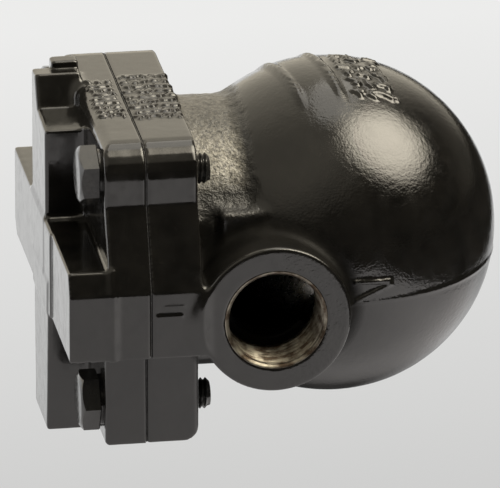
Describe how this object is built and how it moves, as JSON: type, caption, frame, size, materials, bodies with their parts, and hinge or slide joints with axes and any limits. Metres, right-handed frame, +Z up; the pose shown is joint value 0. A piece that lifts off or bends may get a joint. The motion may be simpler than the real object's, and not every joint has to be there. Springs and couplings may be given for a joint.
{
  "type": "ball float steam trap",
  "caption": "Cast ball float steam trap with a round float chamber, screwed in-line ports, a bolted cover and a float lever valve inside.",
  "frame": {"origin": "middle of the pipe axis, halfway between the two port faces", "axes": "+Z up, +Y along the pipe from the inlet port to the outlet port, +X from the bolted cover to the round float chamber"},
  "size_m": [0.1457, 0.121, 0.1145],
  "materials": {
    "painted_iron": "glossy black paint over a sand-cast surface",
    "bolt_steel": "black painted steel",
    "stainless": "satin stainless steel",
    "graphite": "pressed graphite sheet"
  },
  "bodies": {
    "casing": {"body": "painted_iron", "cover": "painted_iron", "cover_gasket": "graphite", "cover_bolt_1": "bolt_steel", "cover_bolt_2": "bolt_steel", "cover_bolt_3": "bolt_steel", "cover_bolt_4": "bolt_steel", "valve_seat": "stainless", "valve_seat_gasket": "graphite", "pivot_frame": "stainless", "frame_screw_1": "stainless", "frame_screw_2": "stainless", "frame_washer_1": "stainless", "frame_washer_2": "stainless", "pivot_pin": "stainless", "pin_clip_1": "stainless", "pin_clip_2": "stainless", "vent_seat": "stainless", "vent_seat_gasket": "graphite", "vent_clip": "stainless", "vent_capsule": "stainless"},
    "float_lever": {"float_arm": "stainless", "float_arm_half": "stainless", "float_far_half": "stainless", "float_screw": "stainless", "float_washer": "stainless", "valve_head": "stainless", "valve_head_clip": "stainless"},
    "air_vent": {"vent_valve": "stainless"}
  },
  "joints": [
    {"name": "float_pivot", "type": "hinge", "parent": "casing", "child": "float_lever", "pos_m": [-0.03, 0, 0.014], "axis": [0, -1, 0], "range_deg": [0, 24]},
    {"name": "vent_travel", "type": "slide", "parent": "casing", "child": "air_vent", "axis": [-1, 0, 0], "range_m": [0, 0.001]}
  ]
}
